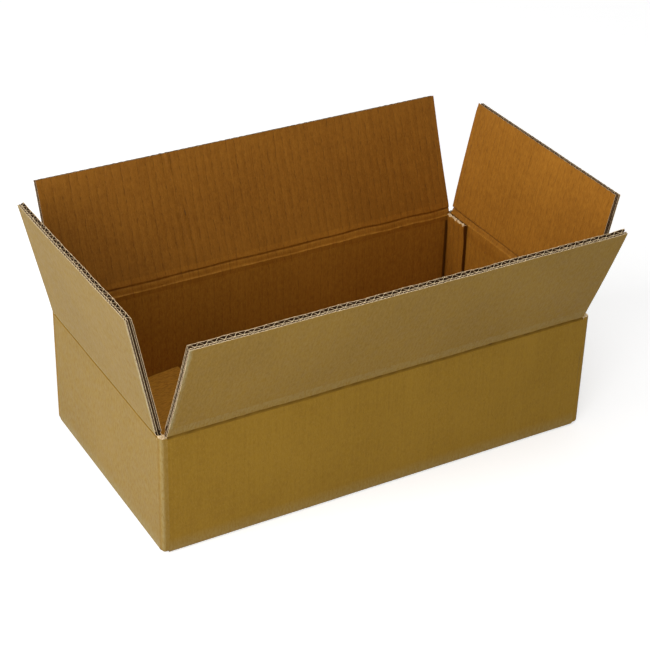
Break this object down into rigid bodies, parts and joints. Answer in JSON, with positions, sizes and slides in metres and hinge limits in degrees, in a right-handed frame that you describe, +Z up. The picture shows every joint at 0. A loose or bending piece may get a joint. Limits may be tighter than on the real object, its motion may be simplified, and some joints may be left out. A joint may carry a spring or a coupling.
{
  "type": "cardboard box",
  "caption": "Open corrugated cardboard shipping box with hinged top flaps standing open and a closed, glued bottom.",
  "frame": {"origin": "centre of the base, on the surface the box stands on", "axes": "+X along the long side to the end with the glued corner, +Y to the back long side, +Z up"},
  "size_m": [0.3696, 0.2443, 0.1799],
  "materials": {
    "kraft_board": "matt kraft paper, fluted inside"
  },
  "bodies": {
    "box": {"folded_body": "kraft_board"},
    "front": {"front_flap": "kraft_board"},
    "back": {"back_flap": "kraft_board"},
    "left": {"left_flap": "kraft_board"},
    "right": {"right_flap": "kraft_board"}
  },
  "joints": [
    {"name": "front_crease", "type": "hinge", "parent": "box", "child": "front", "pos_m": [0, -0.089, 0.0924], "axis": [-1, 0, 0], "range_deg": [-147, 113]},
    {"name": "back_crease", "type": "hinge", "parent": "box", "child": "back", "pos_m": [0, 0.089, 0.0924], "axis": [1, 0, 0], "range_deg": [-149, 111]},
    {"name": "left_crease", "type": "hinge", "parent": "box", "child": "left", "pos_m": [-0.165, 0, 0.0876], "axis": [0, 1, 0], "range_deg": [-142, 103]},
    {"name": "right_crease", "type": "hinge", "parent": "box", "child": "right", "pos_m": [0.165, 0, 0.0876], "axis": [0, -1, 0], "range_deg": [-143.5, 101.5]}
  ]
}
